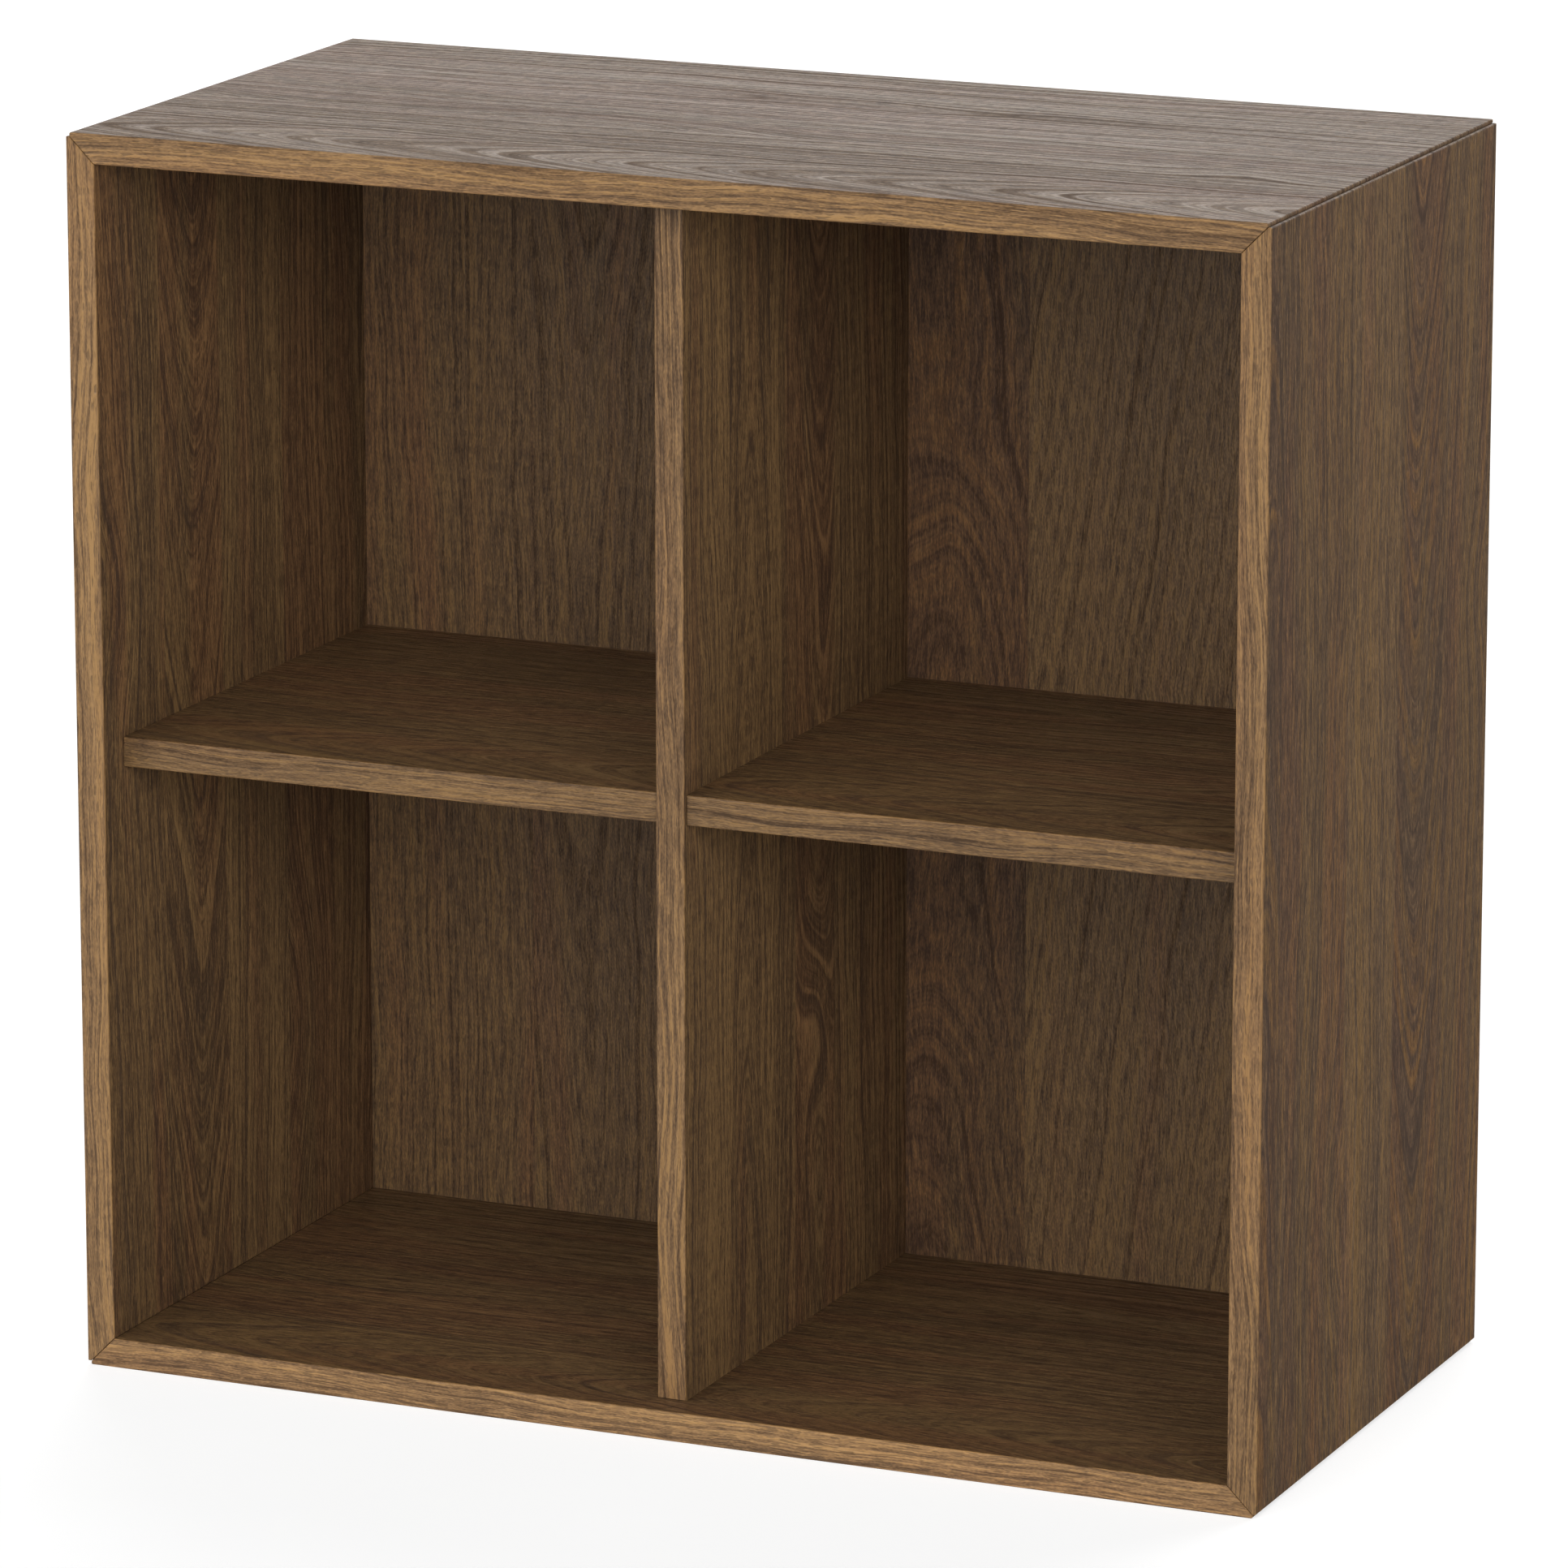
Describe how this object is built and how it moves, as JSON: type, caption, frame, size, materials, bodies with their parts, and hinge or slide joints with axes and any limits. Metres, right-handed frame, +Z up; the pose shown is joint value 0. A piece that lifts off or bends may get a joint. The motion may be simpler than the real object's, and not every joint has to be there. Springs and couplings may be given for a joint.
{
  "type": "cube storage unit",
  "caption": "Open cabinet in dark walnut-effect board: a mitred carcass shared out into cube compartments by a centre divider and half-width shelves, with an inset back panel.",
  "frame": {"origin": "middle of the underside, on the surface that the unit stands on", "axes": "+X to the right seen from the front, +Y from the open front to the rear, +Z up"},
  "size_m": [0.7, 0.35, 0.7],
  "materials": {
    "walnut_face": "satin walnut-effect foil",
    "walnut_edge": "satin walnut-effect edging",
    "back_sheet": "satin walnut-effect foil",
    "dowel_wood": "bare beech",
    "zinc_steel": "zinc plated",
    "screw_steel": "zinc plated"
  },
  "bodies": {
    "root": {"top_panel": "walnut_face", "bottom_panel": "walnut_face", "left_side_panel": "walnut_face", "right_side_panel": "walnut_face", "centre_divider": "walnut_face", "left_shelf": "walnut_face", "right_shelf": "walnut_face", "top_front_edging": "walnut_edge", "bottom_front_edging": "walnut_edge", "left_front_edging": "walnut_edge", "right_front_edging": "walnut_edge", "divider_front_edging": "walnut_edge", "left_shelf_edging": "walnut_edge", "right_shelf_edging": "walnut_edge", "top_rear_edging": "walnut_edge", "bottom_rear_edging": "walnut_edge", "left_rear_edging": "walnut_edge", "right_rear_edging": "walnut_edge", "back_panel": "back_sheet", "top_left_corner_dowels": "dowel_wood", "top_right_corner_dowels": "dowel_wood", "bottom_left_corner_dowels": "dowel_wood", "bottom_right_corner_dowels": "dowel_wood", "divider_top_dowels": "dowel_wood", "divider_bottom_dowels": "dowel_wood", "left_shelf_dowels": "dowel_wood", "right_shelf_dowels": "dowel_wood", "shelf_through_dowels": "dowel_wood", "left_hanging_plate": "zinc_steel", "right_hanging_plate": "zinc_steel", "hanging_plate_screws": "screw_steel", "back_panel_screws": "screw_steel"}
  },
  "joints": []
}
